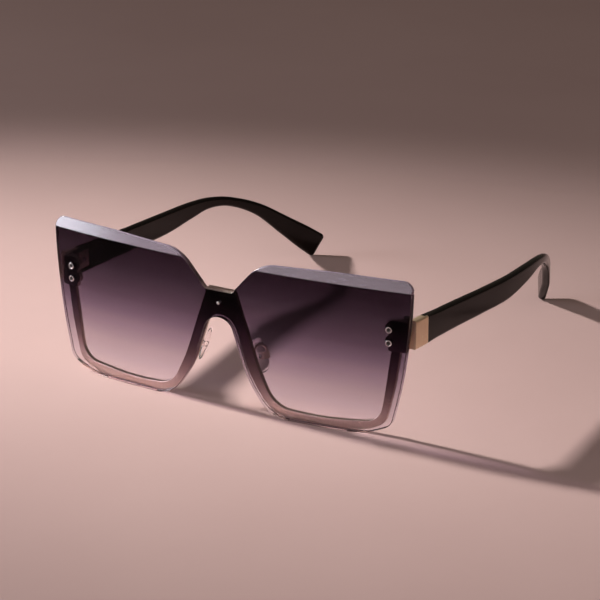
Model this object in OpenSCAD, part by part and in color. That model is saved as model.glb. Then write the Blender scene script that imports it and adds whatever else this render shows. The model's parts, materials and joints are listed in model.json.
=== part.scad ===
// Oversized shield sunglasses, open and standing on a table on the lens and the temple tips.
// X runs across the face, Y runs back towards the temple tips and Z is up. Left and right are
// those of someone who looks at the front. The front is drawn with its foremost point at y = 0.

/* [Lens] */
// Full width of the lens at its upper corners
lens_w = 146; // [138:0.5:152]
// Height of the lens
lens_h = 57.4; // [54:0.2:60]
// Thickness of the lens
lens_t = 2; // [1.6:0.1:2.4]
// Radius of the curve that the lens follows round the face
lens_r = 436; // [300:2:600]
// Height of the ground bevel along the top of each lobe
bevel_h = 3.8; // [2:0.1:5]
// How far the bevel has cut into the thickness at the top edge
bevel_depth = 1.55; // [0.8:0.05:1.6]
// Air left between the lens and the metal behind it
seat_gap = 0.05; // [0.02:0.01:0.15]
// Corners of half the lens, from the bridge round to the nose notch: across as a share of half
// the width, up as a share of the height, and the corner's radius as a share of the height
lens_shares = [
    [0.074, 0.761, 0.021],  // foot of the V, on the bridge
    [0.223, 0.974, 0.244],  // inner upper corner
    [0.616, 0.999, 2.600],  // crown of the top edge
    [1.000, 1.000, 0.063],  // outer upper corner
    [0.992, 0.732, 2.600],  // side, above the temple
    [0.958, 0.366, 2.600],  // side, below the temple
    [0.905, 0.078, 0.087],  // outer lower corner
    [0.771, 0.000, 0.520],  // outer end of the flat bottom
    [0.279, 0.000, 0.235],  // inner lower corner
    [0.156, 0.225, 0.660],  // nose side
    [0.059, 0.585, 0.103]   // shoulder of the nose notch
];

/* [Metal half-rims] */
// Thickness of the rims, the bridge plate and the end pieces
metal_t = 1.8; // [1.4:0.1:2]
// Gap at a soldered joint
solder_gap = 0.02; // [0.01:0.01:0.05]
// Outer corners of a half-rim from the end piece to the bridge plate, as shares like the lens's
rim_outer_shares = [
    [0.934, 0.546, 0.000],  // top of the outer leg
    [0.908, 0.319, 1.050],  // outer leg
    [0.864, 0.077, 0.096],  // outer lower corner
    [0.762, 0.008, 0.400],  // outer end of the bottom
    [0.285, 0.008, 0.232],  // inner lower corner
    [0.162, 0.226, 0.660],  // nose leg
    [0.084, 0.514, 0.000]   // top of the nose leg
];
// Inner corners of a half-rim from the bridge plate back to the end piece
rim_inner_shares = [
    [0.144, 0.514, 0.000],  // top of the nose leg
    [0.204, 0.286, 1.050],  // nose leg
    [0.290, 0.067, 0.174],  // inner lower corner
    [0.521, 0.044, 1.740],  // bottom
    [0.833, 0.082, 0.122],  // outer lower corner
    [0.856, 0.237, 1.050],  // outer leg
    [0.889, 0.546, 0.000]   // top of the outer leg
];
// Corners of half the bridge plate, as shares like the lens's
bridge_shares = [
    [0.078, 0.761, 0.010],  // upper corner
    [0.144, 0.514, 0.000],  // foot, on its outer side
    [0.084, 0.514, 0.000],  // foot, on its inner side
    [0.063, 0.592, 0.109]   // shoulder of the arch over the nose
];
// Height of the rivet in the bridge plate, as a share of the lens height
bridge_rivet_share = 0.68;
// Radius of its head
bridge_rivet_head_r = 0.6; // [0.5:0.05:0.9]
// Height of its head
bridge_rivet_head_h = 0.3; // [0.2:0.05:0.5]
// Radius of its shank
bridge_rivet_r = 0.35; // [0.25:0.05:0.45]

/* [End pieces and lens rivets] */
// Distance of the lens rivets from the side of the lens
rivet_in = 7.95; // [7.5:0.05:8.5]
// Distance of the upper lens rivet below the top of the end piece
rivet_drop = 2.7; // [2.4:0.1:3]
// Distance of the lower lens rivet above the bottom of the end piece
rivet_rise = 3.7; // [3.4:0.1:4]
// Radius of a rivet's domed head
rivet_head_r = 1.2; // [1:0.05:1.4]
// Height of a rivet's head
rivet_head_h = 0.7; // [0.5:0.05:0.9]
// Radius of the dimple in a rivet's head
dimple_r = 0.5; // [0.3:0.05:0.6]
// Radius of a rivet's shank
rivet_r = 0.65; // [0.5:0.05:0.75]
// Play between a rivet and the hole in the lens
rivet_play = 0.05; // [0.02:0.01:0.08]
// Radius of a rivet's peened tail
rivet_tail_r = 1; // [0.9:0.05:1.1]
// Height of a rivet's tail
rivet_tail_h = 0.4; // [0.3:0.05:0.5]
// Radius of the lug round each rivet
lug_r = 2.1; // [1.8:0.05:2.2]
// How far the end piece reaches below the temple's middle
end_below = 6.1; // [5.6:0.1:6.4]
// How far it reaches above the temple's middle
end_above = 5.1; // [4.8:0.1:5.4]
// Edge of the end piece towards the nose, measured from the rivets
end_inner = 0.85; // [0.6:0.05:1.2]
// Edge of the end piece towards the side, measured from the rivets
end_outer = 5.95; // [5.5:0.05:6]
// Radius of the end piece's corners
end_corner_r = 1.1; // [0.5:0.1:1.3]

/* [Temples] */
// How far the temple's middle lies inside the side of the lens, at the hinge
temple_in = 1.6; // [1:0.1:2]
// Height of the temple's middle at the hinge
temple_z = 37.5; // [37:0.1:38]
// Length of a temple from its front end to its tip, measured straight back
temple_l = 150; // [145:1:153]
// Height of the temple at the hinge
temple_h = 10.4; // [9.6:0.1:10.8]
// Thickness of the temple at the hinge
temple_t = 3; // [2.8:0.1:3.2]
// Radius of the temple's long edges
temple_edge_r = 0.7; // [0.3:0.1:1]
// Largest share of the section that this radius may take at the tip
edge_share = 0.45;
// Gap between the end piece and the temple's front end
hinge_line = 0.2; // [0.15:0.05:0.4]
// The temple's run from the hinge to the tip. Each row is one place: how far back, how high,
// how far out, how tall and how thick, as shares of the sizes above
temple_shares = [
    [-0.012, 1.003, 0.999, 1.005, 1.00],
    [ 0.101, 0.974, 1.003, 0.980, 1.00],
    [ 0.205, 0.947, 1.008, 0.942, 1.00],
    [ 0.335, 0.912, 1.018, 0.900, 1.00],
    [ 0.464, 0.883, 1.024, 0.860, 1.00],
    [ 0.577, 0.891, 1.016, 0.650, 0.97],
    [ 0.657, 0.891, 0.998, 0.430, 0.93],
    [ 0.736, 0.828, 0.961, 0.360, 0.93],
    [ 0.827, 0.659, 0.893, 0.475, 1.00],
    [ 0.913, 0.393, 0.816, 0.745, 1.07],
    [ 0.957, 0.242, 0.762, 0.910, 1.07],
    [ 1.000, 0.096, 0.711, 0.995, 1.05]
];
// Radius of the rounded rim of the tip's end face
tip_round = 1.3; // [0.8:0.1:1.4]
// Width of the metal core inside the temple
core_h = 2.2; // [1.6:0.1:2.4]
// Thickness of the metal core
core_t = 0.9; // [0.6:0.1:1.1]
// Play round the core
core_play = 0.04; // [0.02:0.01:0.08]
// Where the core ends, as a share of the temple's length
core_end_share = 0.93;

/* [Temple caps] */
// Length of the metal cap on the outer side of the temple's front end
cap_l = 8.7; // [8:0.1:10]
// Length of the cap's upper flange
cap_top_l = 7.4; // [4:0.1:8]
// Thickness of the cap
cap_t = 0.6; // [0.4:0.05:0.8]
// Gap between the cap and the temple
cap_gap = 0.06; // [0.03:0.01:0.12]

/* [Hinges] */
// Distance of the hinge pin from the temple's middle, towards the nose
pin_in = 3.4; // [3.3:0.05:3.6]
// Distance of the hinge pin behind the temple's front end
pin_back = 2.25; // [2.2:0.05:2.5]
// Height of the stack of five knuckles
stack_h = 9.6; // [8.6:0.1:10]
// Gap between two knuckles
knuckle_gap = 0.08; // [0.05:0.01:0.15]
// Radius of a knuckle
knuckle_r = 1.6; // [1.4:0.05:1.6]
// Where the web between a front knuckle and its leaf starts, and its width, as shares of that
// radius
web_in_share = 0.85;
web_w_share = 1.4;
// Radius of the hinge screw
pin_r = 0.55; // [0.45:0.05:0.7]
// Radial play of the hinge screw
pin_play = 0.03; // [0.02:0.01:0.06]
// Radius of the hinge screw's head
pin_head_r = 1.15; // [1:0.05:1.3]
// Height of the hinge screw's head
pin_head_h = 0.6; // [0.4:0.05:0.8]
// Width of the slot in a screw's head
slot_w = 0.3; // [0.2:0.05:0.35]
// Depth of the slot in a screw's head
slot_depth = 0.25; // [0.15:0.05:0.3]
// Thickness of the hinge leaf on the end piece
leaf_t = 1; // [0.8:0.05:1.1]
// Width of the hinge leaf on the end piece
leaf_w = 3; // [2.6:0.1:3.2]
// Distance of that leaf's inner edge from the lens rivets
leaf_in = 1.3; // [1.2:0.1:1.5]
// Thickness of the hinge leaf on the temple
strap_t = 1.2; // [1:0.05:1.3]
// How deep that leaf is let into the temple
strap_let_in = 0.35; // [0.2:0.05:0.5]
// Length of the hinge leaf on the temple
strap_l = 8; // [7.5:0.1:9]
// Height of the hinge leaf on the temple
strap_h = 6.4; // [5:0.1:7]
// Gap between the knuckles and the flat part of the leaf on the temple
strap_clear = 0.2; // [0.15:0.05:0.3]
// Radius of the rivets that hold that leaf to the temple
strap_rivet_r = 0.5; // [0.4:0.05:0.6]
// Radius of their heads
strap_rivet_head_r = 0.95; // [0.8:0.05:1.2]
// Height of their heads
strap_rivet_head_h = 0.35; // [0.25:0.05:0.45]
// Distance between the two rivets
strap_rivet_pitch = 3.9; // [3.5:0.1:4.2]

/* [Nose pads] */
// Distance of a pad's middle from its arm's foot, towards the nose
pad_in = 0.65; // [0.2:0.05:1]
// Distance of a pad's middle behind that foot
pad_behind = 5.4; // [5:0.1:6]
// Distance of a pad's middle below that foot
pad_drop = 3.9; // [3.5:0.1:4.4]
// Length of a pad
pad_l = 12.6; // [11:0.1:13.5]
// Width of a pad
pad_w = 6.6; // [6:0.1:7.5]
// Thickness of a pad
pad_t = 2.4; // [2:0.1:2.6]
// Lean of a pad towards the nose at its top, in degrees
pad_lean = 20; // [15:1:24]
// Turn of a pad towards the face, in degrees
pad_splay = 25; // [18:1:30]
// Width of the upper end of a pad, as a share of its full width
pad_top_share = 0.72;
// Distance of the pad's screw from the pad's middle
pad_screw_out = 2.7; // [2.6:0.05:2.9]
// Radius of the pad's screw
pad_screw_r = 0.4; // [0.35:0.05:0.45]
// Radius of its head
pad_screw_head_r = 0.75; // [0.6:0.05:0.85]
// Height of its head
pad_screw_head_h = 0.4; // [0.3:0.05:0.5]
// Width of the tab on the back of a pad
tab_w = 1.5; // [1.2:0.1:1.7]
// Height of that tab
tab_h = 2; // [1.6:0.1:2.2]
// Play of the tab in its box
tab_play = 0.12; // [0.1:0.01:0.16]
// Height of the metal box that holds the tab
box_h = 2.6; // [2.2:0.1:3]
// Thickness of the box's walls
box_wall = 0.5; // [0.4:0.05:0.6]
// Distance from the screw to the box's back wall
box_reach = 1.3; // [1.25:0.05:1.6]
// How deep in that wall the wire ends, as a share of the wall
wire_end_share = 0.8;
// Radius of the pad arm's wire
wire_r = 0.5; // [0.4:0.05:0.6]
// Radius of the foot that is soldered to the rim
foot_r = 0.85; // [0.7:0.05:1]
// Thickness of that foot
foot_h = 0.4; // [0.3:0.05:0.6]
// Place of the foot on the nose leg: across as a share of half the width of the lens and up as
// a share of its height
foot_share = [0.165, 0.392];
// The wire's bends between the foot and the box, as steps in millimetres away from the foot
wire_out = [0, 0.4, 2.1, 2.8]; // [0:0.1:4]
// How far back the bends lie
wire_back = [0.3, 2.1, 3.6, 4.2]; // [0:0.1:6]
// How far up the bends lie
wire_up = [0.2, 1.3, 1, -0.4]; // [-1:0.1:2]

/* [Hidden] */

// One overrun for every cut
overrun = 1;
// Degrees between two points of a rounded corner
arc_step = 6;
// Rings along a temple and round its tip, and points round each corner of its section
temple_rings = 34;
tip_rings = 4;
section_steps = 3;
// Rings along the core
core_rings = 24;
// Rings and sides of the pad arm's wire
wire_rings = 18;
wire_sides = 12;
// Sides of small round parts and of the lens's great curve
small_fn = 48;
front_fn = 720;

half_w = lens_w / 2;
rivet_x = half_w - rivet_in;
temple_x = half_w - temple_in;
end_low = temple_z - end_below;
end_high = temple_z + end_above;
upper_rivet_z = end_high - rivet_drop;
lower_rivet_z = end_low + rivet_rise;
bridge_rivet_z = bridge_rivet_share * lens_h;
// Depths behind the lens's front face
metal_front = lens_t + seat_gap;
metal_back = metal_front + metal_t;
// Turn of the front at the lens rivets
end_turn = asin(rivet_x / lens_r);
end_seat_y = lens_r - lens_r * cos(end_turn);
// How deep a part of the front can lie behind the foremost point
front_reach = metal_back + lens_r - sqrt(lens_r * lens_r - half_w * half_w);

// Depth of the end piece's outer back edge, where the temple meets it
end_back_y = lens_r - lens_r * cos(end_turn) + metal_back * cos(end_turn)
    + end_outer * sin(end_turn);
temple_y = end_back_y + hinge_line;
pin_x = temple_x - pin_in;
pin_y = temple_y + pin_back;
// The pin's place beside and behind the lens rivets, along and square to the lens there
pin_aside = (pin_x - rivet_x) * cos(end_turn) + (pin_y - end_seat_y) * sin(end_turn);
pin_behind = (pin_y - end_seat_y) * cos(end_turn) - (pin_x - rivet_x) * sin(end_turn);
stack_low = temple_z - stack_h / 2;
knuckle_h = (stack_h - 4 * knuckle_gap) / 5;
// Inner face of the temple beside the hinge
temple_in_x = temple_x - temple_t / 2;
strap_out_x = temple_in_x + strap_let_in;
strap_in_x = strap_out_x - strap_t;
strap_y = pin_y + knuckle_r + strap_clear;
strap_rivet_y = strap_y + strap_rivet_head_r + strap_clear;
cap_in_x = temple_x + temple_t / 2 - cap_t;
cap_top_z = temple_z + temple_h / 2 - cap_t;
// How much further back the rounded tip reaches than the end of its middle line
tip_reach = 2.37;
// The origin lies under the middle of the whole length
middle_y = (temple_y + temple_l + tip_reach - bridge_rivet_head_h) / 2;
foot_x = foot_share.x * half_w;
foot_z = foot_share.y * lens_h;
foot_y = lens_r - sqrt(pow(lens_r - metal_back, 2) - foot_x * foot_x);
pad_x = foot_x - pad_in;
pad_y = foot_y + pad_behind;
pad_z = foot_z - pad_drop;

// Outlines with rounded corners

function unit(v) = v / norm(v);

// Corners of a row of shares, in millimetres
function from_shares(rows) = [for (s = rows) [s.x * half_w, s.y * lens_h, s.z * lens_h]];

// Neighbour k places on from corner i of a closed outline
function corner(corners, i, k = 0) = corners[(i + k + len(corners)) % len(corners)];

// Half the angle at corner q between its neighbours p and n
function half_angle(p, q, n) =
    acos(unit([p.x - q.x, p.y - q.y]) * unit([n.x - q.x, n.y - q.y])) / 2;

// The share of their radii that corner i and the next one can have on the edge between them
function edge_fit(corners, i) =
    let (
        reach = [for (k = [0, 1])
            let (q = corner(corners, i, k))
            q.z / tan(half_angle(corner(corners, i, k - 1), q, corner(corners, i, k + 1)))],
        edge = norm([for (k = [0, 1]) corner(corners, i, 1)[k] - corners[i][k]])
    )
    reach[0] + reach[1] > edge ? edge / (reach[0] + reach[1]) : 1;

// The arc that rounds corner q between its neighbours p and n. Its third value is the radius
function corner_arc(p, q, n) =
    let (
        at = [q.x, q.y],
        a = unit([p.x, p.y] - at),
        b = unit([n.x, n.y] - at),
        half = half_angle(p, q, n),
        centre = at + unit(a + b) * q.z / sin(half),
        from = at + a * q.z / tan(half) - centre,
        to = at + b * q.z / tan(half) - centre,
        start = atan2(from.y, from.x),
        sweep = (atan2(to.y, to.x) - start + 540) % 360 - 180,
        steps = ceil(abs(sweep) / arc_step)
    )
    [for (k = [0:steps]) centre + q.z * [cos(start + sweep * k / steps),
                                         sin(start + sweep * k / steps)]];

function rounded(corners) =
    let (fit = [for (i = [0:len(corners) - 1]) edge_fit(corners, i)])
    [
        for (i = [0:len(corners) - 1])
            let (
                q = corners[i],
                r = q.z * min(fit[i], corner(fit, i, -1)),
                p = corner(corners, i, -1),
                n = corner(corners, i, 1)
            )
            each (r == 0 ? [[q.x, q.y]] : corner_arc(p, [q.x, q.y, r], n))
    ];

// A closed outline from the corners of its right half
function both_halves(half) = concat(half, [
    for (i = [len(half) - 1:-1:0]) [-half[i].x, half[i].y, half[i].z]
]);

// A part of the front: an outline, seen from the front, cut out of a sheet that follows the
// lens's curve between two depths
module front_sheet(front, back) {
    intersection() {
        rotate([90, 0, 0])
            translate([0, 0, -front_reach - overrun])
                linear_extrude(front_reach + 2 * overrun) children();
        translate([0, lens_r, -overrun])
            difference() {
                cylinder(r = lens_r - front, h = lens_h + 2 * overrun, $fn = front_fn);
                translate([0, 0, -overrun])
                    cylinder(r = lens_r - back, h = lens_h + 4 * overrun, $fn = front_fn);
            }
    }
}

// Puts a part square to the lens at the right lens rivets, with y as the depth behind it
module at_rivets() {
    translate([0, lens_r, 0])
        rotate([0, 0, end_turn])
            translate([0, -lens_r, 0]) children();
}

// Lays a cylinder along the depth
module along_depth(r, from, to) {
    translate([0, from, 0])
        rotate([-90, 0, 0]) cylinder(r = r, h = to - from, $fn = small_fn);
}

// Smooth runs and swept forms

function span_of(xs, x, i = 0) =
    i < len(xs) - 2 && x > xs[i + 1] ? span_of(xs, x, i + 1) : i;

function grade(xs, ys, i) =
    let (a = max(i - 1, 0), b = min(i + 1, len(xs) - 1)) (ys[b] - ys[a]) / (xs[b] - xs[a]);

// Value at x of the smooth curve through the points (xs, ys)
function smooth(xs, ys, x) =
    let (
        i = span_of(xs, x),
        w = xs[i + 1] - xs[i],
        t = (x - xs[i]) / w
    )
    ys[i] * (2 * t * t * t - 3 * t * t + 1) + grade(xs, ys, i) * w * (t * t * t - 2 * t * t + t)
    + ys[i + 1] * (3 * t * t - 2 * t * t * t) + grade(xs, ys, i + 1) * w * (t * t * t - t * t);

// A closed solid through a row of rings with the same number of points, which run clockwise as
// seen from the first ring
module skin(rings) {
    n = len(rings[0]);
    last = len(rings) - 1;
    polyhedron(
        points = [for (ring = rings) each ring],
        faces = concat(
            [[for (k = [0:n - 1]) k]],
            [for (i = [0:last - 1], k = [0:n - 1], half = [0, 1])
                let (a = i * n + k, b = i * n + (k + 1) % n)
                half == 0 ? [a, a + n, b] : [b, a + n, b + n]],
            [[for (k = [n - 1:-1:0]) last * n + k]]
        )
    );
}

// Points of a rounded rectangle w wide and h tall
function section(w, h, r) = [
    for (c = [[1, 1, 0], [-1, 1, 90], [-1, -1, 180], [1, -1, 270]], k = [0:section_steps])
        [c.x * (w / 2 - r) + r * cos(c.z + 90 * k / section_steps),
         c.y * (h / 2 - r) + r * sin(c.z + 90 * k / section_steps)]
];

function column(i) = [for (row = temple_shares) row[i]];
temple_at = column(0);
function temple_mid(s) = [
    temple_x * smooth(temple_at, column(2), s),
    temple_y + temple_l * s,
    temple_z * smooth(temple_at, column(1), s)
];

// One ring of the right temple at share s of its length, square to its run
function temple_ring(s, outline) =
    let (
        step = 0.002,
        run = temple_mid(s + step) - temple_mid(s - step),
        up = unit([-run.x * run.z, -run.y * run.z, run.x * run.x + run.y * run.y]),
        in = unit([-run.y, run.x, 0])
    )
    [for (p = outline) temple_mid(s) + in * p.x + up * p.y];

// How much narrower the section is at share s, where the rim of the end face is rounded
function tip_cut(s) =
    let (e = min(1, max(0, (s - 1) * temple_l / tip_round + 1)))
    2 * tip_round * (1 - sqrt(1 - e * e));

// Rings stand evenly along the temple, and closer together round the rim of its end face
function ring_shares(first) =
    let (last = 1 - tip_round / temple_l)
    concat(
        [for (i = [0:temple_rings - 1]) first + (last - first) * i / temple_rings],
        [for (i = [0:tip_rings]) 1 - (1 - last) * (1 - sin(90 * i / tip_rings))]
    );

module temple_blank() {
    skin([
        for (s = ring_shares(temple_at[0]))
            let (
                h = temple_h * smooth(temple_at, column(3), s) - tip_cut(s),
                w = temple_t * smooth(temple_at, column(4), s) - tip_cut(s)
            )
            temple_ring(s, section(w, h, min(temple_edge_r, edge_share * min(h, w))))
    ]);
}

// The core's form, from a place behind the temple's front end
module core_form(start, play) {
    skin([
        for (i = [0:core_rings])
            let (
                from = start / temple_l,
                to = core_end_share + play / temple_l
            )
            temple_ring(from + (to - from) * i / core_rings, [
                for (c = [[1, 1], [-1, 1], [-1, -1], [1, -1]])
                    [c.x * (core_t / 2 + play), c.y * (core_h / 2 + play)]
            ])
    ]);
}

module core() {
    difference() {
        core_form(cap_t + cap_gap, 0);
        hinge_rivet_places() rivet_hole();
    }
}

// A round wire through a row of places
module wire(places, r) {
    at = [for (i = [0:len(places) - 1]) i];
    xs = [for (p = places) p.x];
    ys = [for (p = places) p.y];
    zs = [for (p = places) p.z];
    function mid(t) = [smooth(at, xs, t), smooth(at, ys, t), smooth(at, zs, t)];
    skin([
        for (i = [0:wire_rings])
            let (
                t = (len(places) - 1) * i / wire_rings,
                step = 0.01,
                run = unit(mid(t + step) - mid(t - step)),
                across = unit(cross(run, [1, 0, 0])),
                up = cross(run, across)
            )
            [for (k = [0:wire_sides - 1])
                mid(t) + r * (across * cos(360 * k / wire_sides)
                              + up * sin(360 * k / wire_sides))]
    ]);
}

// Fixings

// A domed head that rises towards -y from its flat back at y = 0
module dome(r, h) {
    ball_r = (r * r + h * h) / (2 * h);
    intersection() {
        translate([0, ball_r - h, 0]) sphere(r = ball_r, $fn = small_fn);
        along_depth(r, -h - overrun, 0);
    }
}

// The slot across a screw's head, whose top is at z = 0
module slot(head_r) {
    translate([-head_r - overrun, -slot_w / 2, -slot_depth])
        cube([2 * (head_r + overrun), slot_w, slot_depth + overrun]);
}

// The front

module lens_rivet_heights() {
    for (z = [upper_rivet_z, lower_rivet_z]) translate([0, 0, z]) children();
}

module both_sides() {
    children();
    mirror([1, 0, 0]) children();
}

module bevel_waste() {
    run = bevel_h + overrun;
    translate([0, lens_r, lens_h - bevel_h])
        difference() {
            cylinder(r = lens_r + overrun, h = run, $fn = front_fn);
            cylinder(r1 = lens_r, r2 = lens_r - bevel_depth * run / bevel_h, h = run,
                     $fn = front_fn);
        }
}

module whole_lens() {
    difference() {
        front_sheet(0, lens_t) polygon(rounded(both_halves(from_shares(lens_shares))));
        bevel_waste();
        both_sides() at_rivets() lens_rivet_heights()
            along_depth(rivet_r + rivet_play, -overrun, lens_t + overrun);
        translate([0, 0, bridge_rivet_z])
            along_depth(bridge_rivet_r + rivet_play, -overrun, lens_t + overrun);
    }
}

module plate() {
    difference() {
        front_sheet(metal_front, metal_back)
            polygon(rounded(both_halves(from_shares(bridge_shares))));
        translate([0, 0, bridge_rivet_z])
            along_depth(bridge_rivet_r + solder_gap, lens_t - overrun, metal_back + overrun);
    }
}

module small_rivet() {
    translate([0, 0, bridge_rivet_z]) {
        dome(bridge_rivet_head_r, bridge_rivet_head_h);
        along_depth(bridge_rivet_r, 0, metal_back);
        translate([0, metal_back, 0]) mirror([0, 1, 0])
            dome(bridge_rivet_head_r, bridge_rivet_head_h);
    }
}

// A rim's corners. The first and the last are the top of its outer leg, under the end piece
function rim_corners() =
    let (rows = from_shares(concat(rim_outer_shares, rim_inner_shares)))
    [for (i = [0:len(rows) - 1])
        i == 0 || i == len(rows) - 1 ? [rows[i].x, end_low, rows[i].z] : rows[i]];

module rim() {
    front_sheet(metal_front, metal_back)
        translate([0, -solder_gap]) polygon(rounded(rim_corners()));
}

module end_piece() {
    at_rivets()
        difference() {
            union() {
                translate([0, metal_back, 0]) rotate([90, 0, 0]) linear_extrude(metal_t)
                    polygon(rounded([
                        [-end_inner, end_low, end_corner_r / 2],
                        [-end_inner, end_high, end_corner_r],
                        [end_outer, end_high, end_corner_r],
                        [end_outer, end_low, end_corner_r]
                    ]));
                lens_rivet_heights() along_depth(lug_r, metal_front, metal_back);
            }
            lens_rivet_heights()
                along_depth(rivet_r + solder_gap, metal_front - overrun, metal_back + overrun);
        }
}

module lens_rivet() {
    difference() {
        dome(rivet_head_r, rivet_head_h);
        translate([0, -rivet_head_h, 0]) sphere(r = dimple_r, $fn = small_fn);
    }
    along_depth(rivet_r, 0, metal_back);
    translate([0, metal_back, 0]) mirror([0, 1, 0]) dome(rivet_tail_r, rivet_tail_h);
}

module lens_rivets() {
    at_rivets() lens_rivet_heights() lens_rivet();
}

// Hinges

// Stands a part on the hinge pin's axis at the foot of knuckle i, counted from the bottom
module at_knuckle(i) {
    translate([pin_x, pin_y, stack_low + i * (knuckle_h + knuckle_gap)]) children();
}

module knuckle() {
    cylinder(r = knuckle_r, h = knuckle_h, $fn = small_fn);
}

module pin_bore() {
    translate([pin_x, pin_y, stack_low - overrun])
        cylinder(r = pin_r + pin_play, h = stack_h + 2 * overrun, $fn = small_fn);
}

module hinge_front() {
    difference() {
        union() {
            at_rivets()
                translate([leaf_in, metal_back, stack_low]) cube([leaf_w, leaf_t, stack_h]);
            for (i = [0, 2, 4]) at_knuckle(i) knuckle();
            at_rivets() for (i = [0, 2, 4])
                translate([pin_aside - web_in_share * knuckle_r, metal_back + leaf_t / 2,
                           stack_low + i * (knuckle_h + knuckle_gap)])
                    cube([web_w_share * knuckle_r, pin_behind - metal_back - leaf_t / 2, knuckle_h]);
        }
        pin_bore();
    }
}

module hinge_rear() {
    reach = strap_y - pin_y + overrun;
    difference() {
        union() {
            translate([strap_in_x, strap_y, temple_z - strap_h / 2])
                cube([strap_t, strap_l, strap_h]);
            for (i = [1, 3]) at_knuckle(i) {
                knuckle();
                cube([temple_in_x - strap_clear - pin_x, reach, knuckle_h]);
            }
        }
        pin_bore();
        hinge_rivet_places() rivet_hole();
    }
}

module hinge_screw() {
    head_z = stack_low + stack_h;
    translate([pin_x, pin_y, 0])
        difference() {
            union() {
                translate([0, 0, stack_low])
                    cylinder(r = pin_r, h = stack_h + pin_head_h / 2, $fn = small_fn);
                translate([0, 0, head_z])
                    cylinder(r = pin_head_r, h = pin_head_h, $fn = small_fn);
            }
            translate([0, 0, head_z + pin_head_h]) slot(pin_head_r);
        }
}

// Points along x, where each rivet meets the inner face of the leaf on the temple
module hinge_rivet_places() {
    for (i = [0, 1])
        translate([strap_in_x, strap_rivet_y + i * strap_rivet_pitch, temple_z])
            rotate([0, 0, -90]) children();
}

module rivet_hole() {
    along_depth(strap_rivet_r + solder_gap, -overrun, cap_in_x - strap_in_x);
}

module hinge_rivets() {
    hinge_rivet_places() {
        along_depth(strap_rivet_r, 0, cap_in_x - cap_gap - strap_in_x - solder_gap);
        dome(strap_rivet_head_r, strap_rivet_head_h);
    }
}

// Temples

// The room that the metal cap takes up at the front end of the temple
module cap_room(play) {
    low = temple_z - temple_h;
    start = temple_y - overrun;
    translate([cap_in_x - play, start, low])
        cube([overrun + temple_t, cap_l + overrun + play, 2 * temple_h]);
    translate([temple_x - temple_t, start, low])
        cube([2 * temple_t, cap_t + overrun + play, 2 * temple_h]);
    translate([temple_x - temple_t, start, cap_top_z - play])
        cube([2 * temple_t, cap_top_l + overrun + play, temple_h]);
}

module before_temple() {
    translate([temple_x - temple_t, temple_y - temple_t, temple_z - temple_h])
        cube([2 * temple_t, temple_t, 2 * temple_h]);
}

module temple() {
    difference() {
        temple_blank();
        before_temple();
        cap_room(cap_gap);
        core_form(-overrun, core_play);
        translate([temple_in_x - temple_t, strap_y - strap_clear / 2, temple_z - strap_h / 2
                   - solder_gap])
            cube([temple_t + strap_let_in + solder_gap, strap_l + strap_clear,
                  strap_h + 2 * solder_gap]);
        hinge_rivet_places() rivet_hole();
    }
}

module temple_cap() {
    difference() {
        intersection() {
            temple_blank();
            cap_room(0);
        }
        before_temple();
    }
}

// Nose pads

// Puts a part on the right pad: x points away from the nose, y back and z up along the pad
module at_pad() {
    translate([pad_x, pad_y, pad_z]) rotate([0, -pad_lean, -pad_splay]) children();
}

module at_pad_screw() {
    at_pad() translate([pad_screw_out, 0, 0]) children();
}

module nose_pad() {
    cheek = pad_w / 2;
    top = cheek * pad_top_share;
    difference() {
        union() {
            at_pad() hull() {
                translate([0, 0, pad_l / 2 - top])
                    scale([pad_t / 2 / top, 1, 1]) sphere(r = top, $fn = 32);
                translate([0, 0, cheek - pad_l / 2])
                    scale([pad_t / 2 / cheek, 1, 1]) sphere(r = cheek, $fn = 32);
            }
            at_pad_screw() translate([-pad_screw_out, -tab_w / 2, -tab_h / 2])
                cube([pad_screw_out, tab_w, tab_h]);
            at_pad_screw() along_depth(tab_h / 2, -tab_w / 2, tab_w / 2);
        }
        at_pad_screw()
            along_depth(pad_screw_r + pin_play, -tab_w / 2 - overrun, tab_w / 2 + overrun);
    }
}

module nose_pad_arm() {
    inner = tab_w / 2 + tab_play;
    outer = inner + box_wall;
    box_top = [pad_x, pad_y, pad_z]
        + (pad_screw_out + box_reach + box_wall * wire_end_share) * [cos(pad_lean) * cos(pad_splay),
                                         -cos(pad_lean) * sin(pad_splay), sin(pad_lean)];
    at_pad_screw() difference() {
        translate([-box_wall, -outer, -box_h / 2])
            cube([box_reach + 2 * box_wall, 2 * outer, box_h]);
        translate([-box_wall - overrun, -inner, -box_h / 2 - overrun])
            cube([box_reach + box_wall + overrun, 2 * inner, box_h + 2 * overrun]);
        along_depth(pad_screw_r + solder_gap, -outer - overrun, outer + overrun);
    }
    foot = [foot_x, foot_y, foot_z];
    translate(foot) along_depth(foot_r, solder_gap, foot_h);
    wire(concat([for (i = [0:len(wire_out) - 1])
                    foot + [wire_out[i], wire_back[i], wire_up[i]]],
                [box_top]), wire_r);
}

module nose_pad_screw() {
    outer = tab_w / 2 + tab_play + box_wall;
    at_pad_screw() {
        along_depth(pad_screw_r, -outer, outer);
        translate([0, -outer, 0]) rotate([90, 0, 0])
            difference() {
                cylinder(r = pad_screw_head_r, h = pad_screw_head_h, $fn = small_fn);
                translate([0, 0, pad_screw_head_h]) slot(pad_screw_head_r);
            }
    }
}

// Sides and frame

module right_side() {
    translate([0, -middle_y, 0]) children();
}

module left_side() {
    mirror([1, 0, 0]) right_side() children();
}

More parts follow.
